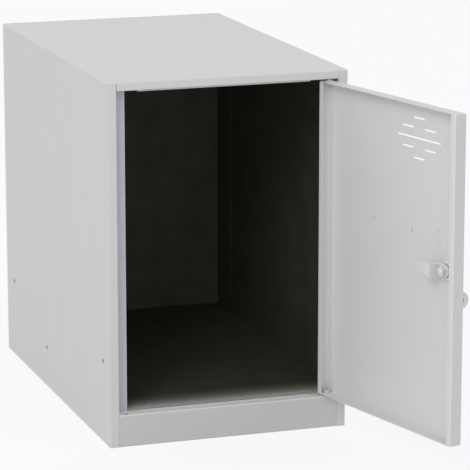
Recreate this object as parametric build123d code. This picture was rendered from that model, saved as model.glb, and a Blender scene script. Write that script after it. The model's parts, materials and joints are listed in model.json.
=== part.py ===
from build123d import *
import os

# A small steel locker with one door, in millimetres. The origin is the middle of the bottom edge
# of the back, on the floor. X runs to the right, Y from the front to the back, and Z up.
# Every piece of the door is drawn with the door shut and then swung open, as the locker stands.

# Cabinet
width = 305
height = 450
depth = 500
sheet = 0.8
bend = 0.8
overrun = 1

# Front frame
stile_face = 12
rail_face = 10.5
plinth_height = 40
ledge_lip = 4
lip_cut_back = 30.5
stop_set_back = 19
stop_reach = 27
stop_leg = 18
foot_flange = 15
foot_clear = 25

# Flanges that join the panels
joint_flange = 24
back_flange = 55
flange_clear = 1

# Wall fixing
wall_hole_radius = 3.5
wall_hole_spacing = 200
wall_hole_drop = 50

# Blind rivets
rivet_radius = 1.6
rivet_head_radius = 3.3
rivet_head_rise = 1.2
rivet_tail_radius = 2.4
rivet_tail_rise = 1.5
rivet_mandrel_radius = 0.9
rivet_fit = 0.05
end_rivet_height = 103
floor_rivet_from_back = 205
back_rivet_margin = 16

# Door
door_gap_side = 3
door_gap_end = 2.5
door_thick = 16
door_lip = 8
door_close_gap = 0.3
door_open_angle = 104

# Pivots
pivot_inset = 7
pivot_set_back = 6
pin_radius = 3
pin_head_radius = 4.5
pin_head_rise = 2
pin_reach = 4
pin_fit = 0.05
running_fit = 0.06
bush_radius = 4.5
bush_head_radius = 5
bush_head_rise = 1
bush_fit = 0.05
washer_radius = 6
plate_thick = 2
plate_reach = 28
plate_set_back = 1.8
plate_depth = 13
plate_fit = 0.1

# Vents
vent_from_edge = 90
vent_from_top = 43.5
vent_pitch = 12
vent_slot_height = 2
vent_short = 22
vent_long = 85
vent_pair_offset = 21.5

# Label holder
holder_from_top = 154
holder_rivet_spacing = 79
holder_height = 30
holder_ear = 7
holder_pocket = 66
holder_rim = 5
holder_gauge = 0.6
card_thick = 0.4
card_clear = 0.3
card_margin = 1.5

# Padlock latch
latch_from_edge = 30
latch_from_top = 190
rosette_radius = 16
rosette_thick = 2
neck_radius = 8
neck_reach = 4.5
neck_fit = 0.1
ring_nut_flats = 22
ring_nut_thick = 3
turn_gap = 0.3
spindle_radius = 5
spindle_seat = 4
boss_radius = 13
lever_thick = 6
lever_width = 8
lever_round = 1.5
lug_from_axis = 38.5
lug_stand_out = 17.8
lug_radius = 10.9
lug_thick = 4
shackle_hole_radius = 4.25
staple_radius = 7.5
staple_thick = 3
staple_gap = 4
staple_foot = 16
staple_foot_high = 22
staple_rivet_spacing = 12

# Cam behind the door
cam_thick = 2
cam_hub_radius = 8
cam_tip_width = 10
cam_tip_round = 3
cam_riser = 10
cam_stop_gap = 0.5
cam_overlap = 12
square_width = 7
square_fit = 0.05
stud_radius = 3
stud_fit = 0.05
stud_proud = 1
cam_washer_radius = 6.5
cam_washer_thick = 1
cam_nut_flats = 10
cam_nut_thick = 5

# Faces and lines of the cabinet
fold = sheet + bend
half = width / 2
front = -depth
wall = half - sheet
roof = height - sheet
back_inner = -sheet
opening_half = half - stile_face
opening_high = height - rail_face
floor_top = plinth_height
floor_under = floor_top - sheet
stop_front = front + stop_set_back
stop_edge = half - stop_reach
flange_front = stop_front + stop_leg + flange_clear
flange_back = back_inner - fold
tray_flange_top = floor_top + joint_flange
roof_flange_low = roof - joint_flange

# Faces and axes of the door
door_right = opening_half - door_gap_side
door_left = -door_right
door_low = plinth_height + door_gap_end
door_high = opening_high - door_gap_end
door_back = front + door_thick
skin_back = front + sheet
lip_front = door_back + door_close_gap
ledge_back = lip_front + sheet
lip_half = opening_half - lip_cut_back
pivot_x = door_right - pivot_inset
pivot_y = front + pivot_set_back
holder_z = door_high - holder_from_top
latch_x = door_left + latch_from_edge
latch_z = door_high - latch_from_top

# Places along the latch, from the outside to the inside
lever_back = front - rosette_thick - turn_gap
lever_front = lever_back - lever_thick
neck_back = front + neck_reach
cam_front = neck_back + turn_gap
cam_back = cam_front + cam_thick
nut_front = cam_back + cam_washer_thick
nut_back = nut_front + cam_nut_thick
tongue_front = stop_front + sheet + cam_stop_gap
tongue_reach = latch_x + stop_edge + cam_overlap
staple_side = latch_x + lever_width / 2 + staple_gap
staple_z = latch_z + lug_from_axis


def block(x0, x1, y0, y1, z0, z1):
    """A plate or a bar between two opposite corners."""
    return Pos((x0 + x1) / 2, (y0 + y1) / 2, (z0 + z1) / 2) * Box(x1 - x0, y1 - y0, z1 - z0)


def post(x, y, z0, z1, radius):
    """A round piece along Z."""
    return Pos(x, y, (z0 + z1) / 2) * Cylinder(radius, abs(z1 - z0))


def rod(x, z, y0, y1, radius):
    """A round piece along Y."""
    return Pos(x, (y0 + y1) / 2, z) * Rot(X=90) * Cylinder(radius, abs(y1 - y0))


def bar(y, z, x0, x1, radius):
    """A round piece along X."""
    return Pos((x0 + x1) / 2, y, z) * Rot(Y=90) * Cylinder(radius, abs(x1 - x0))


def folded(plane, points, side, length):
    """Sheet steel bent along a line of points, with its thickness to one side of the line."""
    line = FilletPolyline(*points, radius=fold)
    section = make_face(offset(line, amount=sheet, side=side, closed=True))
    return extrude(plane * section, amount=length)


def hexagon(x, z, y, flats, thick):
    """A six-sided nut blank, flat on a plane at y and as thick as given towards the back."""
    outline = RegularPolygon(radius=flats / 2, side_count=6, major_radius=False)
    return Pos(x, y, z) * Rot(X=-90) * extrude(outline, amount=thick)


def mirrored(piece):
    """The same piece on the other side of the cabinet."""
    return mirror(piece, about=Plane.YZ)


def side_rivet_places():
    """Where the three rivets of a side sit: on the stop angle, the floor and the back's flange."""
    return [
        (stop_front + stop_leg / 2, end_rivet_height),
        (-floor_rivet_from_back, floor_top + joint_flange / 2),
        (-back_flange + back_rivet_margin, end_rivet_height),
    ]


def side_holes(sign):
    """The rivet holes of one side, through its wall and the flange behind it."""
    ends = (sign * (half + overrun), sign * (wall - fold))
    return [bar(y, z, *ends, rivet_radius + rivet_fit) for y, z in side_rivet_places()]


def left_side_panel():
    """The side wall, the front stile and its return in one folded sheet, on a foot flange."""
    line = [(-opening_half, stop_front), (-opening_half, front), (-half, front), (-half, 0)]
    panel = folded(Plane.XY, line, Side.RIGHT, roof)
    panel += block(-wall, -wall + foot_flange, front + foot_clear, -foot_clear, 0, sheet)
    return panel - side_holes(-1)


def left_stop_angle():
    """An angle inside the side. Its wide leg closes the gap behind the door's edge."""
    line = [(-wall, stop_front + stop_leg), (-wall, stop_front), (-stop_edge, stop_front)]
    strip = folded(Plane.XY.offset(floor_top), line, Side.LEFT, roof - floor_top)
    return strip - side_holes(-1)


def pivot_holes(z0, z1):
    """A pivot hole at each end of a ledge, so that the door can be hung on either hand."""
    return [post(x, pivot_y, z0, z1, pin_radius + pin_fit) for x in (-pivot_x, pivot_x)]


def top_panel():
    """The top sheet, folded down at the front into the rail, its ledge and the door's stop."""
    line = [(ledge_back, opening_high), (front, opening_high), (front, height),
            (back_inner, height), (back_inner, roof_flange_low)]
    panel = folded(Plane.YZ.offset(-half), line, Side.RIGHT, width)
    corners = block(-half, half, front, 0, 0, height).edges().filter_by(Axis.Z).sort_by(Axis.Y)
    panel = panel & fillet(corners[:2], fold)
    for sign in (-1, 1):
        x0, x1 = sorted((sign * opening_half, sign * (half + overrun)))
        panel -= block(x0, x1, front - overrun, 0, roof_flange_low - overrun, roof)
        x0, x1 = sorted((sign * (wall - sheet), sign * wall))
        panel += block(x0, x1, flange_front, flange_back, roof_flange_low, roof)
    panel += block(-lip_half, lip_half, lip_front, ledge_back,
                   opening_high - ledge_lip, opening_high + sheet)
    return panel - pivot_holes(opening_high - overrun, opening_high + fold)


def plinth_rail():
    """The plinth's face between the stiles, its foot, and the ledge that carries the door."""
    line = [(front + foot_flange, 0), (front, 0), (front, plinth_height),
            (ledge_back, plinth_height)]
    rail = folded(Plane.YZ.offset(-opening_half), line, Side.RIGHT, 2 * opening_half)
    rail += block(-lip_half, lip_half, lip_front, ledge_back, floor_under, floor_top + ledge_lip)
    return rail - pivot_holes(plinth_height - fold, plinth_height + overrun)


def floor_tray():
    """The floor, with flanges turned up along its sides, its back and the door's stop."""
    line = [(ledge_back, floor_under), (back_inner, floor_under), (back_inner, tray_flange_top)]
    tray = folded(Plane.YZ.offset(-opening_half), line, Side.LEFT, 2 * opening_half)
    tray += block(-lip_half, lip_half, ledge_back, ledge_back + sheet,
                  floor_under, floor_top + ledge_lip)
    for sign in (-1, 1):
        x0, x1 = sorted((sign * opening_half, sign * wall))
        tray += block(x0, x1, stop_front, flange_back, floor_under, floor_top)
        x0, x1 = sorted((sign * (wall - sheet), sign * wall))
        tray += block(x0, x1, flange_front, flange_back, floor_under, tray_flange_top)
        tray -= side_holes(sign)
    return tray


def back_panel():
    """The back between the sides, with flanges turned forward and two wall-fixing holes."""
    panel = block(-wall, wall, back_inner, 0, 0, height)
    foot_half = wall - foot_flange - flange_clear
    panel += block(-foot_half, foot_half, -foot_flange, back_inner, 0, sheet)
    for sign in (-1, 1):
        x0, x1 = sorted((sign * (wall - sheet), sign * wall))
        panel += block(x0, x1, -back_flange, back_inner,
                       tray_flange_top + flange_clear, roof_flange_low - flange_clear)
        panel -= side_holes(sign)
        panel -= rod(sign * wall_hole_spacing / 2, height - wall_hole_drop,
                     back_inner - overrun, overrun, wall_hole_radius)
    return panel


def pivot_plates(z0):
    """A thick plate at each end of a ledge, which holds a pivot pin on either hand."""
    holes = pivot_holes(z0 - overrun, z0 + plate_thick + overrun)
    y0 = front + plate_set_back
    inner = opening_half - plate_fit
    right = block(inner - plate_reach, inner, y0, y0 + plate_depth, z0, z0 + plate_thick) - holes
    return Compound([mirrored(right), right])


def pivot_pin(seat, door_face, way):
    """A headed pin, fixed with its head on a plate, that reaches through the door's flange."""
    head = post(pivot_x, pivot_y, seat, seat - way * pin_head_rise, pin_head_radius)
    return head + post(pivot_x, pivot_y, seat, door_face + way * pin_reach, pin_radius)


def pivot_bush(face, way):
    """A nylon bush in the door's top or bottom flange, in which the pin turns."""
    bush = post(pivot_x, pivot_y, face, face + way * (sheet + pin_reach), bush_radius)
    bush += post(pivot_x, pivot_y, face, face - way * bush_head_rise, bush_head_radius)
    bore = face + way * (sheet + pin_reach + overrun)
    return bush - post(pivot_x, pivot_y, face - way * (bush_head_rise + overrun), bore,
                       pin_radius + running_fit)


def pivot_washer():
    """The nylon washer on the plinth's ledge, which carries the door's weight."""
    top = door_low - bush_head_rise
    washer = post(pivot_x, pivot_y, plinth_height, top, washer_radius)
    return washer - post(pivot_x, pivot_y, plinth_height - overrun, top + overrun,
                         pin_radius + running_fit)


def blind_rivet(grip):
    """A blind rivet along Z. Its domed head stands on the XY plane and its tail is below."""
    dome = (rivet_head_radius ** 2 + rivet_head_rise ** 2) / (2 * rivet_head_rise)
    head = Pos(0, 0, rivet_head_rise - dome) * Sphere(dome)
    head = head & post(0, 0, 0, rivet_head_rise, rivet_head_radius)
    rivet = head + post(0, 0, -grip, 0, rivet_radius)
    rivet += post(0, 0, -grip - rivet_tail_rise, -grip, rivet_tail_radius)
    return rivet - post(0, 0, 0, rivet_head_rise + overrun, rivet_mandrel_radius)


def left_side_rivets():
    """Three blind rivets in the left side, with their heads outside."""
    return [Pos(-half, y, z) * Rot(Y=-90) * blind_rivet(2 * sheet) for y, z in side_rivet_places()]


def door_shell(inset, radius):
    """The door's outline, set in by some thickness, with its folds rounded."""
    shell = block(door_left + inset, door_right - inset, front + inset, door_back - inset,
                  door_low + inset, door_high - inset)
    open_edges = shell.faces().sort_by(Axis.Y)[-1].edges().filter_by(Axis.X)
    return fillet(shell.edges() - open_edges, radius)


def vent_slots():
    """Seven slots that make a diamond: one short, two, a long one, two, and one short."""
    rows = [(2, 0, vent_short), (1, vent_pair_offset, vent_short), (0, 0, vent_long),
            (-1, vent_pair_offset, vent_short), (-2, 0, vent_short)]
    slots = []
    for row, shift, length in rows:
        slot = extrude(Plane.XZ * SlotOverall(length, vent_slot_height), amount=sheet + 2 * overrun)
        x = door_left + vent_from_edge
        z = door_high - vent_from_top + row * vent_pitch
        slots += [Pos(x + way, skin_back + overrun, z) * slot for way in {-shift, shift}]
    return slots


def holder_rivet_places():
    """Where the label holder's two rivets sit, across the door."""
    return [(side * holder_rivet_spacing / 2, holder_z) for side in (-1, 1)]


def staple_rivet_places():
    """Where the staple's two rivets sit, in the middle of its foot."""
    x = staple_side + (staple_thick + staple_foot) / 2
    return [(x, staple_z + side * staple_rivet_spacing / 2) for side in (-1, 1)]


def door_holes(places, out):
    """Rivet holes through the door's skin and what lies on it."""
    return [rod(x, z, front - out, skin_back + overrun, rivet_radius + rivet_fit)
            for x, z in places]


def door_pan():
    """The door in one folded sheet: flanges on all four edges, and lips on the two tall ones."""
    pan = door_shell(0, fold) - door_shell(sheet, bend)
    pan -= block(door_left + door_lip, door_right - door_lip,
                 door_back - sheet - overrun, door_back + overrun,
                 door_low + sheet, door_high - sheet)
    pan -= vent_slots()
    pan -= rod(latch_x, latch_z, front - overrun, skin_back + overrun, neck_radius + neck_fit)
    pan -= door_holes(holder_rivet_places() + staple_rivet_places(), overrun)
    return pan - [post(pivot_x, pivot_y, z - fold, z + fold, bush_radius + bush_fit)
                  for z in (door_low, door_high)]


def label_holder():
    """A pressed frame on the door's face, open at its top, where the card slides in."""
    pocket = holder_pocket / 2
    tall = holder_height / 2
    rise = card_thick + card_clear + holder_gauge
    inner = pocket - holder_gauge
    window = pocket - holder_rim
    ear_end = (holder_rivet_spacing / 2) + holder_ear
    holder = block(-ear_end, ear_end, front - holder_gauge, front, holder_z - tall, holder_z + tall)
    holder += block(-pocket, pocket, front - rise, front, holder_z - tall, holder_z + tall)
    holder -= block(-inner, inner, front - rise + holder_gauge, front + overrun,
                    holder_z - tall + holder_gauge, holder_z + tall + overrun)
    holder -= block(-window, window, front - rise - overrun, front,
                    holder_z - tall + holder_rim, holder_z + tall - holder_rim)
    return holder - door_holes(holder_rivet_places(), rise)


def label_card():
    """A blank card in the label holder."""
    pocket = holder_pocket / 2 - holder_gauge - card_margin
    low = holder_z - holder_height / 2 + holder_gauge
    high = holder_z + holder_height / 2 - card_margin
    back = front - card_clear / 2
    return block(-pocket, pocket, back - card_thick, back, low, high)


def door_rivets(places, gauge):
    """Blind rivets through a plate on the door's face, with their heads outside."""
    return [Pos(x, front - gauge, z) * Rot(X=90) * blind_rivet(sheet + gauge) for x, z in places]


def latch_body():
    """The latch's fixed body: a round rosette on the door's face and a neck through the skin."""
    rosette = rod(latch_x, latch_z, front - rosette_thick, front, rosette_radius)
    body = fillet(rosette.faces().sort_by(Axis.Y)[0].edges(), rosette_thick / 2)
    body += rod(latch_x, latch_z, front, neck_back, neck_radius)
    return body - rod(latch_x, latch_z, front - rosette_thick - overrun, neck_back + overrun,
                      spindle_radius + running_fit)


def latch_ring_nut():
    """The thin nut on the neck, which clamps the latch to the door."""
    nut = hexagon(latch_x, latch_z, skin_back, ring_nut_flats, ring_nut_thick)
    return nut - rod(latch_x, latch_z, front, neck_back, neck_radius + neck_fit)


def lug(radius, reach, thick):
    """A plate with a round nose and a shackle hole, in the XY plane, that points to the front."""
    plate = Rectangle(2 * radius, reach, align=(Align.CENTER, Align.MAX))
    plate += Pos(0, -reach) * Circle(radius)
    plate -= Pos(0, -reach) * Circle(shackle_hole_radius)
    return extrude(plate, amount=thick / 2, both=True)


def latch_lever():
    """The lever that turns the latch: a boss, an arm that hangs down, and the padlock's lug."""
    boss = rod(latch_x, latch_z, lever_front, lever_back, boss_radius)
    boss = fillet(boss.faces().sort_by(Axis.Y)[0].edges(), lever_round)
    arm = block(latch_x - lever_width / 2, latch_x + lever_width / 2, lever_front, lever_back,
                latch_z - lug_from_axis - lug_radius, latch_z)
    arm = fillet(arm.faces().sort_by(Axis.Y)[0].edges(), lever_round)
    reach = lug_stand_out - (front - lever_back)
    place = Pos(latch_x, lever_back, latch_z - lug_from_axis) * Rot(Y=90)
    tab = place * lug(lug_radius, reach, lug_thick)
    seat = rod(latch_x, latch_z, lever_back - spindle_seat, lever_back + overrun,
               spindle_radius + pin_fit)
    return boss + arm + tab - seat


def square(x, z, y0, y1, side):
    """A square bar along Y."""
    return block(x - side / 2, x + side / 2, y0, y1, z - side / 2, z + side / 2)


def latch_spindle():
    """The spindle, fixed in the lever. It ends in a square for the cam and a threaded stud."""
    spindle = rod(latch_x, latch_z, lever_back - spindle_seat, cam_front, spindle_radius)
    spindle += square(latch_x, latch_z, cam_front, cam_back, square_width)
    return spindle + rod(latch_x, latch_z, cam_back, nut_back + stud_proud, stud_radius)


def latch_cam():
    """The cranked cam. Its tapered tongue points to the hinge when open, and half a turn on it
    lies behind the stop."""
    low, high = latch_z - cam_hub_radius, latch_z + cam_hub_radius
    riser, tip = latch_x + cam_riser, latch_x + tongue_reach
    tongue_back = tongue_front + cam_thick
    cam = rod(latch_x, latch_z, cam_front, cam_back, cam_hub_radius)
    cam += block(latch_x, riser, cam_front, cam_back, low, high)
    cam += block(riser - cam_thick, riser, cam_front, tongue_back, low, high)
    tongue = Polygon((riser - cam_thick, low), (tip, high - cam_tip_width), (tip, high),
                     (riser - cam_thick, high), align=None)
    tongue = fillet(tongue.vertices().sort_by(Axis.X)[-2:], cam_tip_round)
    cam += extrude(Plane.XZ.offset(-tongue_back) * tongue, amount=cam_thick)
    return cam - square(latch_x, latch_z, cam_front - overrun, cam_back + overrun,
                        square_width + 2 * square_fit)


def cam_washer():
    """The washer between the cam and its nut."""
    washer = rod(latch_x, latch_z, cam_back, nut_front, cam_washer_radius)
    return washer - rod(latch_x, latch_z, cam_front, nut_back, stud_radius + stud_fit)


def cam_nut():
    """The nut that holds the cam on its square."""
    nut = hexagon(latch_x, latch_z, nut_front, cam_nut_flats, cam_nut_thick)
    return nut - rod(latch_x, latch_z, cam_back, nut_back + overrun, stud_radius + stud_fit)


def padlock_staple():
    """The fixed staple beside the locked lug: a smaller lug on a foot riveted to the door."""
    place = Pos(staple_side + staple_thick / 2, front, staple_z) * Rot(Y=90)
    staple = place * lug(staple_radius, lug_stand_out, staple_thick)
    staple += block(staple_side, staple_side + staple_foot, front - staple_thick, front,
                    staple_z - staple_foot_high / 2, staple_z + staple_foot_high / 2)
    return staple - door_holes(staple_rivet_places(), staple_thick + overrun)


cabinet = {
    "left_side_panel": left_side_panel(),
    "right_side_panel": mirrored(left_side_panel()),
    "left_stop_angle": left_stop_angle(),
    "right_stop_angle": mirrored(left_stop_angle()),
    "top_panel": top_panel(),
    "plinth_rail": plinth_rail(),
    "floor_tray": floor_tray(),
    "back_panel": back_panel(),
    "upper_pivot_plates": pivot_plates(opening_high + sheet),
    "lower_pivot_plates": pivot_plates(floor_under - plate_thick),
    "upper_pivot_pin": pivot_pin(opening_high + sheet + plate_thick, door_high, -1),
    "lower_pivot_pin": pivot_pin(floor_under - plate_thick, door_low, 1),
    "lower_pivot_washer": pivot_washer(),
    "left_side_rivets": Compound(left_side_rivets()),
    "right_side_rivets": Compound([mirrored(rivet) for rivet in left_side_rivets()]),
}

door = {
    "door_pan": door_pan(),
    "upper_pivot_bush": pivot_bush(door_high, -1),
    "lower_pivot_bush": pivot_bush(door_low, 1),
    "label_holder": label_holder(),
    "label_card": label_card(),
    "label_rivets": Compound(door_rivets(holder_rivet_places(), holder_gauge)),
    "latch_body": latch_body(),
    "latch_ring_nut": latch_ring_nut(),
    "padlock_staple": padlock_staple(),
    "staple_rivets": Compound(door_rivets(staple_rivet_places(), staple_thick)),
    "latch_lever": latch_lever(),
    "latch_spindle": latch_spindle(),
    "latch_cam": latch_cam(),
    "cam_washer": cam_washer(),
    "cam_nut": cam_nut(),
}

swing = Pos(pivot_x, pivot_y) * Rot(Z=door_open_angle) * Pos(-pivot_x, -pivot_y)

os.makedirs("parts", exist_ok=True)
for name, piece in cabinet.items():
    export_step(piece, f"parts/{name}.step")
for name, piece in door.items():
    export_step(swing * piece, f"parts/{name}.step")
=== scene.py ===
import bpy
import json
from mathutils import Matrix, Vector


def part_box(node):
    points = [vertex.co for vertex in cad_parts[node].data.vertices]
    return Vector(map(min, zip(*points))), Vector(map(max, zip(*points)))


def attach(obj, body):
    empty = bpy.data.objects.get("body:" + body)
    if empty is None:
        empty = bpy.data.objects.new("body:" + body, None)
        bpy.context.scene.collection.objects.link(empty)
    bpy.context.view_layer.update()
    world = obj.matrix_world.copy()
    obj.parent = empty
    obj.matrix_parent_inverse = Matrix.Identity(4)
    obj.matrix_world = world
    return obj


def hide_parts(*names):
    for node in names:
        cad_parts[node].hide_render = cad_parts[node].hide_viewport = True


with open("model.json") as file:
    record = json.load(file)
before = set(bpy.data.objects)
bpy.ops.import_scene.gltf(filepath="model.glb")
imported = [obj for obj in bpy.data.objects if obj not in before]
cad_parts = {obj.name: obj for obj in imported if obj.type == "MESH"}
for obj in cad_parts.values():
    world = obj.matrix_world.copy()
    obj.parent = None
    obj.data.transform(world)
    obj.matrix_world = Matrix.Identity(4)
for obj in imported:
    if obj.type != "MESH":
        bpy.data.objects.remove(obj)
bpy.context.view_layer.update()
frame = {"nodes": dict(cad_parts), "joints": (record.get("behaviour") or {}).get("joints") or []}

# A small sheet-steel locker with one door on pivot pins and a turning padlock latch. Lengths are
# in metres, and every place is in the frame of the CAD model.
import json
from math import cos, hypot, pi, radians, sin, sqrt, tan

import bmesh
import bpy
from mathutils import Matrix, Vector

# The view
# The picture is taken from the left and a little above, from several metres away. Its long lens
# keeps the cabinet's upright edges nearly parallel.
camera_yaw = radians(18.71)
camera_pitch = radians(12.82)
camera_roll = radians(-0.02)
camera_place = Vector((-1.0743, -3.6941, 1.0221))
picture_pixels = 470
focal_pixels = 2847
sensor_width = 36
far_clip = 200

camera = bpy.data.objects.new("camera", bpy.data.cameras.new("camera"))
bpy.context.scene.collection.objects.link(camera)
camera.data.sensor_width = sensor_width
camera.data.lens = sensor_width * focal_pixels / picture_pixels
camera.data.clip_end = far_clip
look = Vector((sin(camera_yaw) * cos(camera_pitch), cos(camera_yaw) * cos(camera_pitch),
               -sin(camera_pitch)))
aim = look.to_track_quat("-Z", "Y").to_matrix().to_4x4()
roll = Matrix.Rotation(camera_roll, 4, "Z")
camera.matrix_world = Matrix.Translation(camera_place) @ aim @ roll
bpy.context.scene.camera = camera
bpy.context.scene.view_settings.view_transform = "Standard"

# The studio
# A seamless pale floor under an even white sky, and one large softbox high on the left in front.
# Floor and sky look white in the picture, and the floor keeps the cabinet's soft shadow.
white = (1, 1, 1, 1)
sky_strength = 0.85
softbox_place = Vector((-1.9, -2.8, 2.4))
softbox_target = Vector((0, -0.4, 0.2))
softbox_side = 1.5
softbox_watts = 30
floor_half = 40
floor_tiles = 8
floor_grey = (0.82, 0.82, 0.82, 1)
floor_patch_grey = (0.8, 0.8, 0.8, 1)
floor_patch_scale = 0.6
floor_glow = 0.85


def add(tree, kind, inputs=(), **settings):
    """A node with its settings, and what feeds its sockets: another node's socket or a value."""
    made = tree.nodes.new(kind)
    for name, value in settings.items():
        setattr(made, name, value)
    for socket, source in dict(inputs).items():
        if isinstance(source, bpy.types.NodeSocket):
            tree.links.new(source, made.inputs[socket])
        else:
            made.inputs[socket].default_value = source
    return made


def maths(tree, operation, *values):
    """The result of one sum on sockets or numbers."""
    return add(tree, "ShaderNodeMath", enumerate(values), operation=operation).outputs[0]


def blended(tree, share, first, second):
    """A colour between two colours, by a share from 0 to 1."""
    # A Mix node takes its share at socket 0 and its two colours at 6 and 7.
    inputs = {0: share, 6: first, 7: second}
    return add(tree, "ShaderNodeMix", inputs, data_type="RGBA").outputs[2]


def noise(tree, place, scale, detail=2):
    """Soft random patches, as many to the metre as the scale says."""
    inputs = {"Vector": place, "Scale": scale, "Detail": detail}
    return add(tree, "ShaderNodeTexNoise", inputs).outputs[0]


def seen_directly(tree):
    """1 where the camera sees the surface, also in something shiny, and 0 in its light."""
    rays = add(tree, "ShaderNodeLightPath").outputs
    mirrored = maths(tree, "MAXIMUM", rays["Is Glossy Ray"], rays["Is Transmission Ray"])
    return maths(tree, "MAXIMUM", rays["Is Camera Ray"], mirrored)


def place_in(tree):
    """The place on the surface, in the frame of the CAD model."""
    return add(tree, "ShaderNodeTexCoord").outputs["Object"]


def new_finish(name):
    """An empty finish, with its node tree, its shader and the place on the surface."""
    made = bpy.data.materials.new(name)
    made.use_nodes = True
    tree = made.node_tree
    return made, tree, tree.nodes["Principled BSDF"], place_in(tree)


sky = bpy.data.worlds.new("sky")
bpy.context.scene.world = sky
sky.use_nodes = True
sky_light = sky.node_tree.nodes["Background"]
sky_light.inputs["Color"].default_value = white
sky_light.inputs["Strength"].default_value = sky_strength
white_sky = add(sky.node_tree, "ShaderNodeBackground", {"Color": white, "Strength": 1})
seen_sky = add(sky.node_tree, "ShaderNodeMixShader",
               {0: seen_directly(sky.node_tree), 1: sky_light.outputs[0], 2: white_sky.outputs[0]})
sky_surface = sky.node_tree.nodes["World Output"].inputs["Surface"]
sky.node_tree.links.new(seen_sky.outputs[0], sky_surface)

softbox = bpy.data.objects.new("softbox", bpy.data.lights.new("softbox", "AREA"))
bpy.context.scene.collection.objects.link(softbox)
softbox.data.shape = "SQUARE"
softbox.data.size = softbox_side
softbox.data.energy = softbox_watts
softbox.location = softbox_place
softbox.rotation_euler = (softbox_target - softbox_place).to_track_quat("-Z", "Y").to_euler()

form = bmesh.new()
bmesh.ops.create_grid(form, x_segments=floor_tiles, y_segments=floor_tiles, size=floor_half)
floor_mesh = bpy.data.meshes.new("floor")
form.to_mesh(floor_mesh)
form.free()
studio_floor = bpy.data.objects.new("floor", floor_mesh)
bpy.context.scene.collection.objects.link(studio_floor)

floor_paint, tree, matt, place = new_finish("floor_paint")
matt.inputs["Roughness"].default_value = 1
matt.inputs["Specular IOR Level"].default_value = 0
patches = noise(tree, place, floor_patch_scale)
tree.links.new(blended(tree, patches, floor_grey, floor_patch_grey), matt.inputs["Base Color"])
glow = add(tree, "ShaderNodeEmission", {"Color": white, "Strength": 1})
glow_share = maths(tree, "MULTIPLY", seen_directly(tree), floor_glow)
seen_floor = add(tree, "ShaderNodeMixShader",
                 {0: glow_share, 1: matt.outputs[0], 2: glow.outputs[0]})
tree.links.new(seen_floor.outputs[0], tree.nodes["Material Output"].inputs["Surface"])
studio_floor.data.materials.append(floor_paint)

# Side panels
# Each side is one sheet of steel, with the front stile and its return folded on. The cabinet is
# powder coated pale grey outside, with a fine orange peel. Its inside faces are painted near
# black: painted shade of the closed compartment.
mm = 0.001
outer_grey = (202, 202, 202)
patch_scale = 5
patch_contrast = 0.006
edge_radius = 1.2 * mm
edge_samples = 6
edge_turn = 0.25
edge_film_and_highlight = 0.1
coat_roughness = 0.42
coat_roughness_range = 0.03
gloss_scale = 20
peel_scale = 700
grain_scale = 2600
grain_share = 0.35
peel_height = 0.25 * mm
peel_strength = 0.16
noise_span = (0.3, 0.7)
# The dark inside tones are painted shade, a little darker by the door than at the back.
painted_shade_by_door = (54, 60, 46)
painted_shade_at_back = (72, 78, 62)
painted_shade_cloud = (0.85, 1.15)
painted_shade_cloud_scale = 30
painted_shade_cloud_span = (0.35, 0.65)
inside_roughness = 0.62
inside_clear = 0.4 * mm

nodes = frame["nodes"]
stop_low, stop_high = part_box("left_stop_angle")
back_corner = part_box("back_panel")[1]


def shade(red, green, blue, lighter=1):
    """A colour as a paint chart gives it, from 0 to 255, as the light it sends back."""
    chart = [channel / 255 for channel in (red, green, blue)]
    light = [c / 12.92 if c <= 0.04045 else ((c + 0.055) / 1.055) ** 2.4 for c in chart]
    return [min(1, c * lighter) for c in light] + [1]


def spread(tree, value, low, high, start=0, end=1):
    """A value between low and high carried over to start and end, and held there outside."""
    inputs = {"Value": value, "From Min": low, "From Max": high, "To Min": start, "To Max": end}
    return add(tree, "ShaderNodeMapRange", inputs).outputs[0]


def varied(tree, patches, middle, half_range):
    """A number that follows a noise and stays within half a range of its middle."""
    return spread(tree, patches, *noise_span, middle - half_range, middle + half_range)


def reach(tree, vector, way):
    """How far a vector reaches in a direction."""
    inputs = {0: vector, 1: way}
    made = add(tree, "ShaderNodeVectorMath", inputs, operation="DOT_PRODUCT")
    return made.outputs["Value"]


def along_edges(tree, radius):
    """1 on the rim of a fold or a cut edge, fading to 0 within the radius."""
    rounded = add(tree, "ShaderNodeBevel", {"Radius": radius}, samples=edge_samples).outputs[0]
    flat = add(tree, "ShaderNodeNewGeometry").outputs["Normal"]
    return spread(tree, reach(tree, rounded, flat), 1, 1 - edge_turn)


def bumps(tree, shader, height, strength, depth):
    """The fine relief of a surface."""
    made = add(tree, "ShaderNodeBump", {"Height": height, "Strength": strength, "Distance": depth})
    tree.links.new(made.outputs[0], shader.inputs["Normal"])


def powder_coat(name, colour):
    """Baked powder paint: even, satin, fine orange peel, and paler edges: thin film and painted
    highlight.
    """
    made, tree, shader, place = new_finish(name)
    darker, lighter = shade(*colour, 1 - patch_contrast), shade(*colour, 1 + patch_contrast)
    tone = blended(tree, noise(tree, place, patch_scale), darker, lighter)
    # The paler edges are partly a thinner film and partly a painted highlight along the folds.
    edges = along_edges(tree, edge_radius)
    tone = blended(tree, edges, tone, shade(*colour, 1 + edge_film_and_highlight))
    tree.links.new(tone, shader.inputs["Base Color"])
    gloss = noise(tree, place, gloss_scale)
    tree.links.new(varied(tree, gloss, coat_roughness, coat_roughness_range),
                   shader.inputs["Roughness"])
    grain = maths(tree, "MULTIPLY", noise(tree, place, grain_scale), grain_share)
    peel = maths(tree, "ADD", noise(tree, place, peel_scale), grain)
    bumps(tree, shader, peel, peel_strength, peel_height)
    return made


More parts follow.
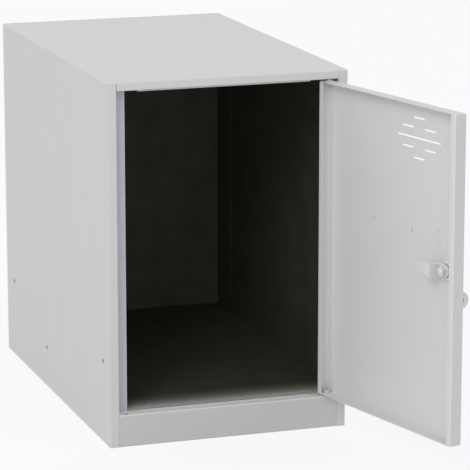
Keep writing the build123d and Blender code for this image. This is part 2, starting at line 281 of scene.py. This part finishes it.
def inside_the_cabinet(tree, place):
    """1 on what faces the compartment, behind the door's stops, and 0 outside. Also the axes."""
    side = back_corner.x + inside_clear
    low = (-side, stop_low.y + 2 * inside_clear, stop_low.z - inside_clear)
    high = (side, -inside_clear, stop_high.z + inside_clear)
    axes = add(tree, "ShaderNodeSeparateXYZ", {0: place}).outputs
    inside = 1
    for axis, lowest, highest in zip(axes, low, high):
        inside = maths(tree, "MULTIPLY", inside, maths(tree, "GREATER_THAN", axis, lowest))
        inside = maths(tree, "MULTIPLY", inside, maths(tree, "LESS_THAN", axis, highest))
    return inside, axes


def paint_shade_inside(paint):
    """Paints shade on a coated panel's inside: near black, clouded, a little paler at the back."""
    tree = paint.node_tree
    shader = tree.nodes["Principled BSDF"]
    place = place_in(tree)
    inside, axes = inside_the_cabinet(tree, place)
    depth = spread(tree, axes[1], stop_low.y, back_corner.y)
    shade_tone = blended(tree, depth, shade(*painted_shade_by_door), shade(*painted_shade_at_back))
    patches = noise(tree, place, painted_shade_cloud_scale, detail=4)
    cloud = spread(tree, patches, *painted_shade_cloud_span, *painted_shade_cloud)
    shade_tone = add(tree, "ShaderNodeHueSaturation", {"Value": cloud, "Color": shade_tone}).outputs[0]
    outside = shader.inputs["Base Color"].links[0].from_socket
    tree.links.new(blended(tree, inside, outside, shade_tone), shader.inputs["Base Color"])
    satin = shader.inputs["Roughness"].links[0].from_socket
    rough = spread(tree, inside, 0, 1, satin, inside_roughness)
    tree.links.new(rough, shader.inputs["Roughness"])
    return paint


def coat(finish, *names):
    """Gives CAD pieces their finish."""
    for name in names:
        nodes[name].data.materials.clear()
        nodes[name].data.materials.append(finish)


cabinet_coat = paint_shade_inside(powder_coat("cabinet_coat", outer_grey))
coat(cabinet_coat, "left_side_panel", "right_side_panel")

# Stop angles
# A folded angle stands inside each side, riveted to it, and its wide leg closes the gap behind
# the door's edge. The left one's coat is a darker, bluish copy of the cabinet's:
# painted shade with a bluish tint of the light.
stop_shaded_grey = (190, 190, 203)
coat(paint_shade_inside(powder_coat("stop_shaded_coat", stop_shaded_grey)), "left_stop_angle")
coat(cabinet_coat, "right_stop_angle")

# Top sheet
# One sheet makes the top, and is folded down at the front into the rail above the door and the
# ledge that holds the upper pivots. Its flanges are welded to the sides and the back.
coat(cabinet_coat, "top_panel")

# Plinth rail
# The plinth is a folded sheet between the stiles. Its coat is painted a shade darker than the
# cabinet's, as painted shade. Its ledge is painted pale as painted light, and the stop lip behind
# the ledge is painted a middle grey as painted shade.
plinth_shaded_grey = (193, 193, 193)
ledge_painted_light = 1.6
ledge_bend = 1.2 * mm
lip_painted_shade = 0.45
lip_clear = 0.3 * mm

ledge_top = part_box("lower_pivot_washer")[0].z


def toned(paint, share, factor):
    """Multiplies a coat's tone by a factor where the share is 1."""
    tree = paint.node_tree
    base = tree.nodes["Principled BSDF"].inputs["Base Color"]
    inputs = {"Value": spread(tree, share, 0, 1, 1, factor), "Color": base.links[0].from_socket}
    tree.links.new(add(tree, "ShaderNodeHueSaturation", inputs).outputs[0], base)


plinth_coat = powder_coat("plinth_coat", plinth_shaded_grey)
tree = plinth_coat.node_tree
height = add(tree, "ShaderNodeSeparateXYZ", {0: place_in(tree)}).outputs[2]
# The ledge is made paler as painted light, and the lip darker as painted shade.
on_ledge = spread(tree, height, ledge_top - ledge_bend, ledge_top)
toned(plinth_coat, on_ledge, ledge_painted_light)
on_lip = spread(tree, height, ledge_top, ledge_top + lip_clear)
toned(plinth_coat, on_lip, lip_painted_shade / ledge_painted_light)
coat(plinth_coat, "plinth_rail")

# Floor tray
# The floor is a tray with its flanges turned up, welded and riveted to the walls. It has the
# painted dark shade too, and painted light near the doorway, broken up by a fine grain.
doorway_light_grey = (212, 206, 200)
doorway_light_full = 8 * mm
doorway_light_until = 85 * mm
doorway_light_power = 4
doorway_light_grain_scale = 350
doorway_light_grain_span = (0.35, 0.6)
doorway_light_grain = (0.55, 1)

floor_coat = paint_shade_inside(powder_coat("floor_coat", outer_grey))
tree = floor_coat.node_tree
place = place_in(tree)
inside, axes = inside_the_cabinet(tree, place)
near_doorway = spread(tree, axes[1], stop_low.y + doorway_light_until, stop_low.y + doorway_light_full)
grains = spread(tree, noise(tree, place, doorway_light_grain_scale, detail=3), *doorway_light_grain_span, *doorway_light_grain)
on_tray = maths(tree, "LESS_THAN", axes[2], stop_low.z + inside_clear)
# Paler near the doorway: painted light where light falls in, broken into grains.
share = maths(tree, "MULTIPLY", maths(tree, "POWER", near_doorway, doorway_light_power), grains)
share = maths(tree, "MULTIPLY", share, maths(tree, "MULTIPLY", on_tray, inside))
base = tree.nodes["Principled BSDF"].inputs["Base Color"]
tree.links.new(blended(tree, share, base.links[0].from_socket, shade(*doorway_light_grey)), base)
coat(floor_coat, "floor_tray")

# Back panel
# The back is a flat sheet between the sides, with its flanges turned forward and welded to them.
# It has two holes near its top for screws into a wall.
coat(cabinet_coat, "back_panel")

# Side rivets
# Three aluminium blind rivets join each side to its stop angle, the floor and the back. Each has
# a low dome with the broken stem in its middle, and a bulb behind the sheet.
rivet_head_radius = 3.3 * mm
rivet_head_rise = 1.2 * mm
rivet_rim = 0.03 * mm
rivet_shank_radius = 1.6 * mm
rivet_tail_radius = 2.4 * mm
rivet_tail_rise = 1.5 * mm
rivet_stem_radius = 0.85 * mm
rivet_steps = 32
stem_top_shares = ((0, 0.62), (0.7, 0.7), (1, 0.55), (1.05, 0.4), (1.15, 0.4))
stem_end_shares = ((1, 0.8), (1, 0.95), (0.6, 1), (0, 1))
dome_shares = (0.38, 0.5, 0.62, 0.74, 0.86, 0.97)
bulb_shares = (0.15, 0.35, 0.6, 0.85)
bulb_length_share = 0.75
weld_distance = 0.002 * mm
fold_angle = radians(35)
rivet_grey = (150, 151, 153)
rivet_roughness = 0.42
metal_roughness_range = 0.1
metal_cloud = (0.86, 1.1)
metal_cloud_scale = 160
metal_grain_scale = 1800
metal_relief = 0.25
metal_relief_height = 0.05 * mm
metal_edge_paler = 1.25
metal_edge_radius = 0.5 * mm


def bare_metal(name, colour, roughness, half_range=metal_roughness_range):
    """Plated or rolled metal: clouded, with a fine grain, and rubbed brighter along its edges."""
    made, tree, shader, place = new_finish(name)
    clouds = noise(tree, place, metal_cloud_scale, detail=4)
    tone = blended(tree, clouds, *[shade(*colour, share) for share in metal_cloud])
    edges = along_edges(tree, metal_edge_radius)
    tone = blended(tree, edges, tone, shade(*colour, metal_edge_paler))
    tree.links.new(tone, shader.inputs["Base Color"])
    tree.links.new(varied(tree, clouds, roughness, -half_range), shader.inputs["Roughness"])
    shader.inputs["Metallic"].default_value = 1
    grain = noise(tree, place, metal_grain_scale, detail=3)
    bumps(tree, shader, grain, metal_relief, metal_relief_height)
    return made


def on_ring(radius, angle, height):
    """A point at a radius and an angle round an axis, and at a height along it."""
    return Vector((radius * cos(angle), radius * sin(angle), height))


def skin(form, near, far):
    """Faces between two closed rings of corners. Either ring may be a single point."""
    steps = max(len(near), len(far))
    for step in range(steps):
        after = (step + 1) % steps
        corners = [near[step % len(near)], near[after % len(near)],
                   far[after % len(far)], far[step % len(far)]]
        form.faces.new(list(dict.fromkeys(corners)))


def round_form(form, profile, steps, place):
    """Adds a round piece to a mesh, from a profile of radius and height along its own axis."""
    angles = [2 * pi * step / steps for step in range(steps)]
    rings = []
    for radius, height in profile:
        around = angles if radius else [0]
        rings.append([form.verts.new(place @ on_ring(radius, angle, height)) for angle in around])
    for near, far in zip(rings, rings[1:]):
        skin(form, near, far)


def rivet_profile(grip):
    """Half of a set blind rivet, from the stem's broken top to its end in the bulb."""
    dome = (rivet_head_radius ** 2 + rivet_head_rise ** 2) / (2 * rivet_head_rise)
    profile = [(wide * rivet_stem_radius, tall * rivet_head_rise) for wide, tall in stem_top_shares]
    for share in dome_shares:
        radius = share * rivet_head_radius
        profile.append((radius, rivet_head_rise - dome + sqrt(dome ** 2 - radius ** 2)))
    profile += [(rivet_head_radius, rivet_rim), (rivet_head_radius, 0),
                (rivet_shank_radius, 0), (rivet_shank_radius, -grip)]
    for share in bulb_shares:
        swell = (rivet_tail_radius - rivet_shank_radius) * sin(pi * share)
        depth = grip + bulb_length_share * rivet_tail_rise * share
        profile.append((rivet_shank_radius + swell, -depth))
    profile += [(wide * rivet_stem_radius, -grip - deep * rivet_tail_rise)
                for wide, deep in stem_end_shares]
    return profile


def extent(points):
    """The lowest and the highest corner of the box round some points."""
    return [Vector([pick(point[axis] for point in points) for axis in range(3)])
            for pick in (min, max)]


def solids_of(name, home):
    """The box of each separate solid of a CAD piece, after a matrix has moved it."""
    form = bmesh.new()
    form.from_mesh(nodes[name].data)
    form.transform(home)
    bmesh.ops.remove_doubles(form, verts=form.verts, dist=weld_distance)
    waiting = set(form.verts)
    found = []
    while waiting:
        reached = [waiting.pop()]
        for vertex in reached:
            for edge in vertex.link_edges:
                other = edge.other_vert(vertex)
                if other in waiting:
                    waiting.discard(other)
                    reached.append(other)
        found.append(extent([vertex.co for vertex in reached]))
    form.free()
    return sorted(found, key=lambda corners: tuple(corners[0]))


def made_piece(name, form, finish, body, stands_for, smooth=fold_angle):
    """Turns a mesh into a piece that rides on a body and stands for a CAD piece."""
    bmesh.ops.recalc_face_normals(form, faces=form.faces)
    mesh = bpy.data.meshes.new(name)
    form.to_mesh(mesh)
    form.free()
    mesh.materials.append(finish)
    mesh.shade_smooth()
    mesh.set_sharp_from_angle(angle=smooth)
    piece = bpy.data.objects.new(name, mesh)
    bpy.context.scene.collection.objects.link(piece)
    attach(piece, body)
    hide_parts(stands_for)
    return piece


def set_rivets(name, node, body, finish, outward, swing=Matrix.Identity(4)):
    """Blind rivets in the places of their CAD piece, with their heads outward before the swing."""
    form = bmesh.new()
    for low, high in solids_of(node, swing.inverted()):
        length = abs((high - low).dot(outward))
        grip = length - rivet_head_rise - rivet_tail_rise
        seat = (low + high) / 2 + outward * (length / 2 - rivet_head_rise)
        turn = outward.to_track_quat("Z", "X").to_matrix().to_4x4()
        place = swing @ Matrix.Translation(seat) @ turn
        round_form(form, rivet_profile(grip), rivet_steps, place)
    return made_piece(name, form, finish, body, node)


rivet_aluminium = bare_metal("side_rivet_aluminium", rivet_grey, rivet_roughness)
left, right = Vector((-1, 0, 0)), Vector((1, 0, 0))
set_rivets("left_rivets", "left_side_rivets", "cabinet", rivet_aluminium, left)
set_rivets("right_rivets", "right_side_rivets", "cabinet", rivet_aluminium, right)

# Pivots
# The door turns on two headed steel pins, each fixed in a thick plate behind its ledge. They are
# zinc plated, which leaves a dull, faintly clouded shine. The left plates serve a left-hung door.
zinc_grey = (176, 178, 182)
zinc_roughness = 0.34

zinc = bare_metal("zinc_plate", zinc_grey, zinc_roughness)
coat(zinc, "upper_pivot_plates", "lower_pivot_plates", "upper_pivot_pin", "lower_pivot_pin")

# Nylon bearings
# Moulded nylon bushes line the holes in the door's flanges, and a nylon washer carries the door's
# weight. Nylon is a little waxy, and faintly mottled where it set.
nylon_grey = (200, 200, 197)
nylon_mottle = (0.94, 1.05)
nylon_mottle_scale = 420
nylon_roughness = 0.46
nylon_roughness_range = 0.06
nylon_waxiness = 0.15
nylon_depth = 1 * mm
nylon_relief = 0.2
nylon_relief_height = 0.1 * mm

nylon, tree, shader, place = new_finish("nylon")
mottle = noise(tree, place, nylon_mottle_scale, detail=3)
tone = blended(tree, mottle, *[shade(*nylon_grey, share) for share in nylon_mottle])
tree.links.new(tone, shader.inputs["Base Color"])
tree.links.new(varied(tree, mottle, nylon_roughness, nylon_roughness_range),
               shader.inputs["Roughness"])
shader.inputs["Subsurface Weight"].default_value = nylon_waxiness
shader.inputs["Subsurface Radius"].default_value = (nylon_depth, nylon_depth, nylon_depth)
bumps(tree, shader, mottle, nylon_relief, nylon_relief_height)
coat(nylon, "lower_pivot_washer", "upper_pivot_bush", "lower_pivot_bush")

# Door pan
# The door is a single sheet folded into a shallow pan, with lips along its two tall edges. Seven
# slots are punched through it for air. It is coated like the cabinet, and painted paler inside as
# painted light that evens out the shade the cabinet throws on it.
inside_painted_light = 1.2
half_sheet = 0.4 * mm

hinge = next(joint for joint in frame["joints"] if joint["name"] == "door_hinge")
pivot = Vector(hinge["pos_m"])
opened = Matrix.Rotation(-radians(hinge["range_deg"][0]), 4, "Z")
swing = Matrix.Translation(pivot) @ opened @ Matrix.Translation(-pivot)
shut = swing.inverted()

# The door stands open at rest, so its box is measured with the door shut.
low, high = extent([shut @ vertex.co for vertex in nodes["door_pan"].data.vertices])
pan_middle = swing @ ((low + high) / 2)
pan_half = (high - low) / 2

door_coat = powder_coat("door_coat", outer_grey)
tree = door_coat.node_tree
offset = add(tree, "ShaderNodeVectorMath", {0: place_in(tree), 1: pan_middle},
             operation="SUBTRACT").outputs[0]
ways = [opened @ Vector(way) for way in ((1, 0, 0), (0, 1, 0), (0, 0, 1))]
across, inwards, upwards = [reach(tree, offset, way) for way in ways]
in_the_pan = maths(tree, "GREATER_THAN", inwards, half_sheet - pan_half.y)
for distance, limit in ((across, pan_half.x), (upwards, pan_half.z)):
    near = maths(tree, "LESS_THAN", maths(tree, "ABSOLUTE", distance), limit - half_sheet)
    in_the_pan = maths(tree, "MULTIPLY", in_the_pan, near)
# The pan's inside is made paler, as painted light against the cabinet's shade.
toned(door_coat, in_the_pan, inside_painted_light)
coat(door_coat, "door_pan")

# Label holder
# A pressed steel frame on the door's face holds a blank card. Two blind rivets fix it, and their
# bulbs show as faint spots on the door's inside.
holder_grey = (188, 189, 191)
bulb_grey = (228, 228, 228)
bulb_roughness = 0.6
card_white = (236, 235, 230)
fibre_darker = 0.95
fibre_scale = 900
card_roughness = 0.9
card_roughness_range = 0.05
fibre_relief = 0.3
fibre_height = 0.05 * mm

holder_steel = bare_metal("holder_steel", holder_grey, zinc_roughness)
coat(holder_steel, "label_holder")

card, tree, shader, place = new_finish("card_stock")
fibres = noise(tree, place, fibre_scale, detail=6)
tone = blended(tree, fibres, shade(*card_white, fibre_darker), shade(*card_white))
tree.links.new(tone, shader.inputs["Base Color"])
tree.links.new(varied(tree, fibres, card_roughness, card_roughness_range),
               shader.inputs["Roughness"])
bumps(tree, shader, fibres, fibre_relief, fibre_height)
coat(card, "label_card")

outward = Vector((0, -1, 0))
pale_aluminium = bare_metal("pale_aluminium", bulb_grey, bulb_roughness)
set_rivets("holder_rivets", "label_rivets", "door", pale_aluminium, outward, swing)

# Latch body
# The latch is a zinc casting, satin nickel plated. Its rosette lies on the door's face, its neck
# goes through the sheet, and a thin six-sided nut, coated with the door, clamps it from behind.
nickel_grey = (200, 206, 202)
nickel_roughness = 0.3
nickel_roughness_range = 0.06
nut_steps = 96
nut_chamfer = radians(30)
nut_face_share = 0.95
nut_smooth = radians(20)
bore_chamfer = 0.35 * mm
pointing_in = Matrix.Rotation(-pi / 2, 4, "X")

nickel = bare_metal("satin_nickel", nickel_grey, nickel_roughness, nickel_roughness_range)
coat(nickel, "latch_body")


def nut(name, node, body):
    """A six-sided nut with chamfered corners and bore, in the place of its CAD piece."""
    low, high = solids_of(node, shut)[0]
    middle, thick = (low + high) / 2, high.y - low.y
    half_flats = min(high.x - low.x, high.z - low.z) / 2
    face = nut_face_share * half_flats
    points = [shut @ vertex.co for vertex in nodes[node].data.vertices]
    bore = min(hypot(point.x - middle.x, point.z - middle.z) for point in points)
    first_corner = pi / 6 if high.x - low.x > high.z - low.z else 0
    place = swing @ Matrix.Translation((middle.x, low.y, middle.z)) @ pointing_in
    form = bmesh.new()
    columns = []
    for step in range(nut_steps):
        angle = 2 * pi * step / nut_steps
        corner = half_flats / cos((angle + first_corner) % (pi / 3) - pi / 6)
        drop = max(0, corner - face) * tan(nut_chamfer)
        outline = [(bore, bore_chamfer), (bore + bore_chamfer, 0), (face, 0), (corner, drop),
                   (corner, thick - drop), (face, thick), (bore + bore_chamfer, thick),
                   (bore, thick - bore_chamfer)]
        columns.append([form.verts.new(place @ on_ring(radius, angle, height))
                        for radius, height in outline])
    for near, far in zip(columns, columns[1:] + columns[:1]):
        skin(form, near, far)
    return made_piece(name, form, door_coat, body, node, smooth=nut_smooth)


nut("ring_nut", "latch_ring_nut", "door")

# Padlock staple
# A thick steel plate is bent into a foot and a lug with a shackle hole, and nickel plated. Two
# blind rivets fix it to the door beside the place where the lever locks.
press_voxel = 0.35 * mm
press_passes = 5


def softened(name, node, finish, body, voxel, passes):
    """The form of its CAD piece, with the rounded edges of a casting or a thick pressing."""
    form = bmesh.new()
    form.from_mesh(nodes[node].data)
    bmesh.ops.remove_doubles(form, verts=form.verts, dist=weld_distance)
    piece = made_piece(name, form, finish, body, node, smooth=pi)
    remesh = piece.modifiers.new("rounding", "REMESH")
    remesh.mode = "VOXEL"
    remesh.voxel_size = voxel
    remesh.use_smooth_shade = True
    relax = piece.modifiers.new("relaxing", "SMOOTH")
    relax.iterations = passes
    return piece


softened("staple_plate", "padlock_staple", nickel, "door", press_voxel, press_passes)
set_rivets("staple_pair", "staple_rivets", "door", pale_aluminium, outward, swing)

# Latch lever
# The lever is cast in one with its boss, arm and padlock lug, and plated like the body. It is
# pressed on the spindle and hangs down when the latch is open.
cast_voxel = 0.4 * mm
cast_passes = 8

softened("lever_casting", "latch_lever", nickel, "latch", cast_voxel, cast_passes)

# Spindle
# The steel spindle turns in the latch body and is dull zinc plated. Behind its round shaft come a
# square for the cam and a threaded stud for the cam's nut.
spindle_grey = (228, 228, 228)
spindle_roughness = 0.6
spindle_chamfer = 0.4 * mm
square_half = 3.5 * mm
stud_radius = 3 * mm
stud_taper = 0.8 * mm
thread_pitch = 1 * mm
thread_depth = 0.6 * mm
thread_steps = 48
levels_per_pitch = 12

spindle_low, spindle_high = solids_of("latch_spindle", shut)[0]
spindle_middle = (spindle_low + spindle_high) / 2
shaft_radius = (spindle_high.x - spindle_low.x) / 2
square_start = solids_of("latch_cam", shut)[0][0].y - spindle_low.y
stud_start = solids_of("cam_washer", shut)[0][0].y - spindle_low.y
stud_length = spindle_high.y - spindle_low.y - stud_start
spindle_end = Matrix.Translation((spindle_middle.x, spindle_low.y, spindle_middle.z))
spindle_place = swing @ spindle_end @ pointing_in

form = bmesh.new()
shaft = [(0, 0), (shaft_radius - spindle_chamfer, 0), (shaft_radius, spindle_chamfer),
         (shaft_radius, square_start), (0, square_start)]
round_form(form, shaft, thread_steps, spindle_place)

square = [(-square_half, -square_half), (square_half, -square_half),
          (square_half, square_half), (-square_half, square_half)]
inner, outer = [[form.verts.new(spindle_place @ Vector((x, y, z))) for x, y in square]
                for z in (square_start, stud_start)]
form.faces.new(inner)
form.faces.new(outer)
skin(form, inner, outer)

levels = int(levels_per_pitch * stud_length / thread_pitch)
rings = []
for level in range(levels + 1):
    height = stud_length * level / levels
    taper = max(0, stud_taper - (stud_length - height))
    ring = []
    for step in range(thread_steps):
        wave = (height / thread_pitch - step / thread_steps) % 1
        groove = thread_depth * abs(2 * wave - 1)
        radius = stud_radius - max(groove, taper)
        spot = on_ring(radius, 2 * pi * step / thread_steps, stud_start + height)
        ring.append(form.verts.new(spindle_place @ spot))
    rings.append(ring)
for near, far in zip(rings, rings[1:]):
    skin(form, near, far)
form.faces.new(rings[0])
form.faces.new(rings[-1])

dull_zinc = bare_metal("dull_zinc", spindle_grey, spindle_roughness)
made_piece("threaded_spindle", form, dull_zinc, "latch", "latch_spindle")

# Cam
# The cranked cam is pressed from thick steel and sits on the spindle's square. A washer and a nut
# hold it there, and all three are coated with the door.
cam_voxel = 0.3 * mm

softened("cranked_cam", "latch_cam", door_coat, "latch", cam_voxel, press_passes)
coat(door_coat, "cam_washer")
nut("stud_nut", "cam_nut", "latch")
